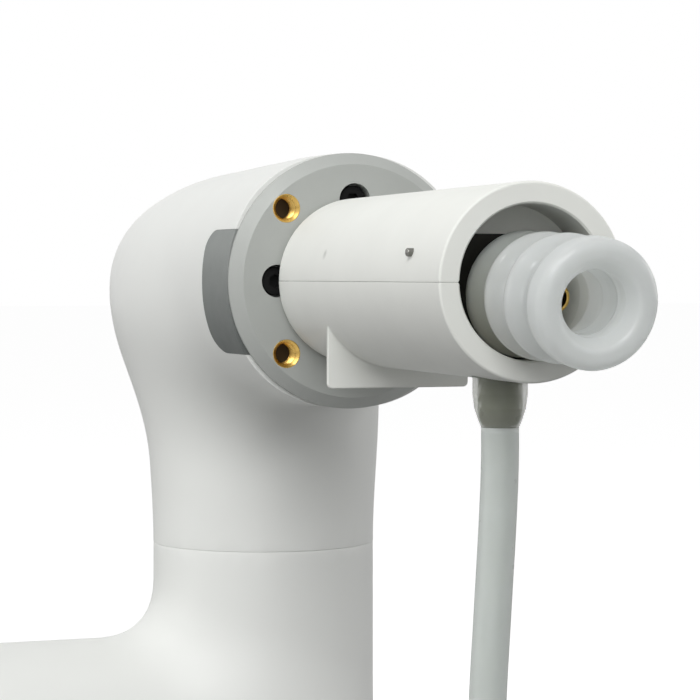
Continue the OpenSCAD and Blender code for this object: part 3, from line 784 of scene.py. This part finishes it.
def foot_plate():
    """The square plate; its rear edges are chamfered up to a thin front rim."""
    bm = bmesh.new()
    outline = rounded(
        (-FOOT_HALF_W, -FOOT_ROOT), (-FOOT_HALF_W, -FOOT_DROP, 1.2), (FOOT_HALF_W, -FOOT_DROP, 1.2),
        (FOOT_HALF_W, -FOOT_ROOT), per_quarter=6)
    corners = [bm.verts.new((x, y, FOOT_AT)) for x, y in outline]
    rim = [bm.edges.new(pair) for pair in zip(corners, corners[1:] + corners[:1])]
    narrower = FOOT_REAR_HALF_W / FOOT_HALF_W
    for back, across, down in ((FOOT_RIM, 1, 1), (FOOT_T - FOOT_RIM, narrower, FOOT_REAR_SHORTER)):
        verts, rim = extruded(bm, rim)
        bmesh.ops.translate(bm, vec=(0, 0, -back), verts=list(verts))
        bmesh.ops.scale(bm, vec=(across, down, 1), space=shift(y=FOOT_ROOT), verts=list(verts))
    bmesh.ops.holes_fill(bm, edges=[e for e in bm.edges if e.is_boundary])
    bmesh.ops.recalc_face_normals(bm, faces=bm.faces)
    return soften(bm, 0.3, 3)


def foot_fillet():
    """Hollow fillets on both faces of the plate, where it meets the tube."""
    r, root, rear_at = 0.8, BODY_REAR_R - 0.1, FOOT_AT - FOOT_T
    behind, before, top = 20, 45, -6
    sweep = [math.radians(90 + 11.25 * k) for k in range(9)]
    hollow = [(root + r + r * math.cos(a), r * (math.sin(a) - 1)) for a in sweep]
    rear = turned([(root, rear_at + 0.1)] + [(x, rear_at + z) for x, z in hollow], 192)
    front = turned([(root, FOOT_AT - 0.1)] + [(x, FOOT_AT - z) for x, z in hollow], 192)

    def on_plate(bm, half_w):
        room = block((-half_w, -FOOT_DROP, behind), (half_w, top, before))
        return boolean(bm, room, operation="INTERSECT")

    return joined(on_plate(rear, FOOT_REAR_HALF_W), on_plate(front, FOOT_HALF_W))


def pry_notch():
    """Cutters for the small notches at both ends of the body's seam."""
    return joined(*(
        moved(block((-0.35, -0.35, -2), (0.35, 0.35, 2)), shift(x, 0, BODY_END) @ turn("Z", 45))
        for x in (-BODY_BORE_R, BODY_BORE_R)))


def on_flanks(at):
    """Places on both flanks, with Z pointing outwards."""
    return [shift(0, PIN_RISE, at) @ turn("Y", side * 90) for side in (1, -1)]


def sink_mark(side):
    """A ball that dents the skin outside a pip; side is 1 or -1."""
    lean = math.asin(PIN_RISE / BODY_REAR_R)
    ball = bmesh.new()
    bmesh.ops.create_uvsphere(ball, u_segments=48, v_segments=32, radius=SINK_R)
    return moved(ball, shift(side * SINK_OUT * math.cos(lean), SINK_OUT * math.sin(lean), PIP_AT))


def retaining_pin():
    end = math.sqrt(BODY_FRONT_R**2 - PIN_RISE**2) + PIN_PROUD
    outline = rounded((0, PIN_ROOT), (PIN_R, PIN_ROOT), (PIN_R, end, 0.35), (0, end), per_quarter=5)
    return turned(outline, 32, closed=False)


def make_body():
    bores = [moved(disc(PIN_R, PIN_ROOT - 1, 30, 32), place) for place in on_flanks(PIN_AT)]
    web = boolean(
        disc(BODY_BORE_R + 1, WEB_AT - 3, WEB_AT, 128),
        block((-20, MANIFOLD_TOP + 0.05, WEB_AT - 10), (20, 30, WEB_AT + 10)), operation="INTERSECT")
    pips = (moved(disc(PIP_R, 14.9, 17, 32), place) for place in on_flanks(PIP_AT))
    upper = boolean(half_of_tube(True), *bores, sink_mark(1), sink_mark(-1), pry_notch())
    upper = boolean(upper, *pips, web, operation="UNION")
    piece("body_upper_half", upper, FLANGE, BODY_PLASTIC, "tool", ["upper_shell"])
    rib = block((-1.2, -FOOT_DROP + 1.5, FOOT_AT - 16), (1.2, -FOOT_DROP + 9.5, FOOT_AT - 2))
    lower = boolean(half_of_tube(False), foot_plate(), foot_fillet(), rib, operation="UNION")
    port = moved(disc(PORT_HOLE_R, 10, 30, 64), shift(z=PORT_AT) @ turn("X", 90))
    lower = boolean(lower, disc(BODY_BORE_R, 0, 60, 192), port, pry_notch())
    piece("body_lower_half", lower, FLANGE, BODY_PLASTIC, "tool", ["lower_shell"])
    pins = many(retaining_pin, on_flanks(PIN_AT))
    piece("steel_retaining_pins", pins, FLANGE, PIN_STEEL, "tool", ["retaining_pins"])


# ---------- suction cup, along its own axis from the body's front ring ----------
def bent(bm, start, end, degrees):
    """Tilts the shape more and more between two heights."""
    for v in bm.verts:
        share = min(max((v.co.z - start) / (end - start), 0), 1)
        angle = math.radians(degrees) * share
        y = v.co.y
        v.co.y = y * math.cos(angle)
        v.co.z += y * math.sin(angle)
    return bm


def fold_wave(z):
    """The radius of the bellows' skin, with its folds."""
    return FOLD_R - FOLD_DEPTH / 2 * (1 - math.cos(math.tau * (z - FOLD_FIRST) / FOLD_PITCH))


def make_cup():
    start, end, count, bend_from = -3.45, LIP_BACK + 0.3, 72, 4
    narrows_by, narrows_from, narrows_over = 1.5, 21.5, 3.4
    collar = turned(rounded(
        (NECK_R, -6.9), (9, -6.9, 0.8), (9.9, -5, 1.0), (13.25, -4.5, 0.45), (fold_wave(start), start),
        (NECK_R, start)), 160)
    piece("cup_collar_ring", collar, CUP, CUP_SILICONE, "tool", ["cup_collar"])
    nipple = turned(rounded(
        (2.4, -8.8), (7, -8.8, 0.2), (7, -7), (NECK_R - 0.05, -7), (NECK_R - 0.05, -3.44), (4.3, -3.44, 0.2),
        (4.3, -1.6, 0.3), (3.05, -1.6, 0.1), (3.05, 11, 0.2), (2.4, 11, 0.1)), 64)
    piece("brass_nipple", nipple, CUP, BRASS, "tool", ["cup_nipple"])

    heights = [start + (end - start) * i / count for i in range(count + 1)]
    chamber = rounded(
        (8.2, start), (10, 1, 1), (10.4, 4.5, 1), (9.6, 7.6, 1), (7.5, 10, 0.35), (7.5, 10.8, 0.35),
        (8.8, 12.8, 1), (9.2, 15.2, 1), (8.2, 17.2, 1), (6.15, 19.4, 0.3), (6.15, 20.2, 0.3), (6.5, 22, 0.8),
        (6.6, end))
    skin = [(fold_wave(z) - narrows_by * float(ease((z - narrows_from) / narrows_over)), z) for z in heights]
    bellows = bent(turned(skin + chamber[::-1], 160), bend_from, LIP_BACK, LIP_TILT - CUP_LEAN)
    bellows = piece(
        "cup_bellows_skin", bellows, CUP, CUP_SILICONE, "tool", ["cup_bellows"],
        weighted=False)
    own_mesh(bellows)

    lip = turned(rounded(
        (MOUTH_R - 0.2, 0), (LIP_R, 0, 1.4), (LIP_R, LIP_DEPTH, 2.3), (8.7, LIP_DEPTH, 1.6),
        (MOUTH_R, LIP_DEPTH - 3.2, 0.5), (MOUTH_R + 0.1, 1.2, 0.3), per_quarter=8), 160)
    place = CUP @ shift(z=LIP_BACK) @ turn("X", LIP_TILT - CUP_LEAN)
    piece("cup_lip_ring", lip, place, CUP_SILICONE, "cup", ["cup_lip"], weighted=False)


# ---------- hose ----------
def smooth_route(points, per_span=5):
    """A curve through the points, close enough together to look smooth."""
    route = [Vector(p) for p in points]
    padded = [2 * route[0] - route[1], *route, 2 * route[-1] - route[-2]]
    fine = []
    for a, b, c, d in zip(padded, padded[1:], padded[2:], padded[3:]):
        for k in range(per_span):
            t = k / per_span
            square, cube = 2 * a - 5 * b + 4 * c - d, 3 * b - a - 3 * c + d
            fine.append(0.5 * (2 * b + (c - a) * t + square * t**2 + cube * t**3))
    return fine + [route[-1]]


def make_hose():
    route = smooth_route(HOSE_ROUTE)
    bm = bmesh.new()
    ring = bmesh.ops.create_circle(bm, segments=32, radius=HOSE_R * MM, matrix=shift(*route[0]))["verts"]
    rim = list({e for v in ring for e in v.link_edges})
    offsets = [v.co - route[0] for v in ring]
    for i in range(1, len(route)):
        ahead = (route[min(i + 1, len(route) - 1)] - route[i - 1]).normalized()
        lean = (-UP).rotation_difference(ahead)
        fresh, rim = extruded(bm, rim)
        ring = [next(e.other_vert(v) for e in v.link_edges if e.other_vert(v) in fresh) for v in ring]
        for v, offset in zip(ring, offsets):
            v.co = route[i] + lean @ offset
    bmesh.ops.recalc_face_normals(bm, faces=bm.faces)
    bmesh.ops.scale(bm, vec=(1 / MM, 1 / MM, 1 / MM), verts=bm.verts)
    hose = piece(
        "vacuum_hose_tube", bm, Matrix.Identity(4), HOSE_SILICONE, "tool", ["vacuum_hose"],
        weighted=False)
    wall = hose.modifiers.new("wall", "SOLIDIFY")
    wall.thickness, wall.offset = 1.4 * MM, -1


def make_hose_end():
    r, inner_r, bore_r = 5.85, 4.72, 2.6
    sleeve = turned(rounded(
        (inner_r, 18.6), (r, 18.6, 0.4), (r, 23.5, 2), (r - 0.4, 26.6, 2), (4.6, 29.2, 2), (HOSE_R, 30.6),
        (bore_r, 30.6), (bore_r, 30.4), (3.8, 30.3), (4.55, 28.5), (inner_r, 27.6)), 64)
    piece("hose_end_sleeve", sleeve, PORT, SLEEVE_SILICONE, "tool", ["hose_end"])
    stem_r, flange_r, bore_r = 3.55, 5.4, 2.2
    teeth = [(3.8, 18.4), (4.6, 21.6), (3.8, 21.8), (4.6, 25), (3.8, 25.2), (4.45, 28.1)]
    barb = turned([
        (bore_r, 4), (stem_r, 4), (stem_r, 15.8), (flange_r, 16.2), (flange_r, 18.2), *teeth, (3.65, 30.1),
        (bore_r, 30.1)], 64)
    piece("barb_stem", barb, PORT, BARB_PLASTIC, "tool", ["hose_barb"], crease=25)


# ---------- the solids that keep their own shape ----------
KEPT = {
    "end_ring_screws": BLACK_STEEL, "bottom_cap_screws": BLACK_STEEL, "adaptor_screw": BLACK_STEEL,
    "forearm_end_ring": FLANGE_GREY, "j5_output_hub": FLANGE_GREY, "bottom_cap": HOUSING_PAINT,
    "j5_bearing_outer": STEEL, "j5_bearing_inner": STEEL, "j5_circular_spline": STEEL, "j5_flexspline": STEEL,
    "j5_rotor": STEEL, "j5_stator": COPPER, "j5_encoder": BOARD,
    "j6_bearing_outer": STEEL, "j6_bearing_inner": STEEL, "j6_circular_spline": STEEL, "j6_flexspline": STEEL,
    "j6_rotor": STEEL, "j6_stator": COPPER, "j6_encoder": BOARD,
    "rear_adaptor": DARK_PLASTIC, "vacuum_manifold": DARK_PLASTIC,
    "hose_connector": DARK_PLASTIC, "connector_release_ring": RING_PLASTIC}


def dress_kept():
    for name, look in KEPT.items():
        mesh = nodes[name].data
        mesh.materials.clear()
        mesh.materials.append(look)


# ---------- room, light and camera ----------
def seen_directly(tree, strength, otherwise, also=("Is Glossy Ray", "Is Transmission Ray")):
    """strength for camera rays and for the kinds in also, and another value for the rest."""
    path = tree.nodes.new("ShaderNodeLightPath")
    total = path.outputs["Is Camera Ray"]
    for output in also:
        add = tree.nodes.new("ShaderNodeMath")
        add.operation = "MAXIMUM"
        tree.links.new(total, add.inputs[0])
        tree.links.new(path.outputs[output], add.inputs[1])
        total = add.outputs[0]
    span = tree.nodes.new("ShaderNodeMapRange")
    span.inputs["To Max"].default_value = strength
    span.inputs["To Min"].default_value = otherwise
    tree.links.new(total, span.inputs["Value"])
    return span.outputs["Result"]


def make_floor():
    """A white floor that keeps shadows and throws little light back up."""
    floor = bpy.data.meshes.new("floor")
    bm = bmesh.new()
    bmesh.ops.create_grid(bm, x_segments=1, y_segments=1, size=30, matrix=Matrix.Translation((0, 0, FLOOR_Z)))
    bm.to_mesh(floor)
    bm.free()
    obj = bpy.data.objects.new("floor", floor)
    bpy.context.scene.collection.objects.link(obj)
    look = bpy.data.materials.new("floor_white")
    look.use_nodes = True
    tree = look.node_tree
    shader = tree.nodes["Principled BSDF"]
    shader.inputs["Roughness"].default_value = 0.9
    shader.inputs["Specular IOR Level"].default_value = 0.0
    shader.inputs["Emission Color"].default_value = (1, 1, 1, 1)
    white, glow = seen_directly(tree, 0.85, 0.12), seen_directly(tree, 0.61, 0.06, ["Is Transmission Ray"])
    tree.links.new(white, shader.inputs["Base Color"])
    tree.links.new(glow, shader.inputs["Emission Strength"])
    floor.materials.append(look)


def make_world():
    """A white room that lights evenly from all sides."""
    world = bpy.data.worlds.new("white_room")
    bpy.context.scene.world = world
    world.use_nodes = True
    tree = world.node_tree
    background = tree.nodes["Background"]
    background.inputs["Color"].default_value = (1, 1, 1, 1)
    tree.links.new(seen_directly(tree, 1.0, 0.44), background.inputs["Strength"])


# Each soft round lamp's place in metres, its size in metres and its power in watts.
LAMPS = {
    "key": ((-0.95, -1.47, 1.56), 1.7, 33),
    "right_rim": ((2.306, -0.05, 0.489), 1.1, 10),
    "left_rim": ((-2.106, 0.339, 0.1), 1.1, 6),
    "left_glint": ((-1.318, 0.2, 1.816), 0.4, 4),
    "low_front": ((-0.47, -2.15, 0.56), 1.7, 4.5)}
LAMPS_AIM = Vector((0.1, -0.05, 0.1))


def make_lamps():
    for name, (place, size, power) in LAMPS.items():
        lamp = bpy.data.lights.new(name, "AREA")
        lamp.shape, lamp.size, lamp.energy = "DISK", size, power
        obj = bpy.data.objects.new(name, lamp)
        obj.location = place
        obj.rotation_mode = "QUATERNION"
        obj.rotation_quaternion = (LAMPS_AIM - Vector(place)).to_track_quat("-Z", "Y")
        bpy.context.scene.collection.objects.link(obj)


def make_camera():
    """The camera, aimed a little below the flange's seat."""
    azimuth, elevation, distance = math.radians(-19.8), math.radians(1.79), 0.5929
    aim_below, focal_length, sensor_width = 0.01705, 123.43, 36
    back = Vector((
        math.sin(azimuth) * math.cos(elevation), -math.cos(azimuth) * math.cos(elevation),
        math.sin(elevation)))
    camera = bpy.data.cameras.new("camera")
    camera.lens, camera.sensor_width, camera.clip_start = focal_length, sensor_width, 0.01
    obj = bpy.data.objects.new("camera", camera)
    obj.rotation_mode = "QUATERNION"
    obj.rotation_quaternion = (-back).to_track_quat("-Z", "Y")
    upward = obj.rotation_quaternion @ Vector((0, 1, 0))
    obj.location = MM * FLANGE.translation - aim_below * upward + distance * back
    bpy.context.scene.collection.objects.link(obj)
    bpy.context.scene.camera = obj


make_wrist()
make_seals()
make_forearm()
make_flange()
make_flange_hardware()
make_body()
make_cup()
make_hose_end()
make_hose()
dress_kept()
make_floor()
make_world()
make_lamps()
make_camera()

scene = bpy.context.scene
scene.view_settings.view_transform = "Standard"
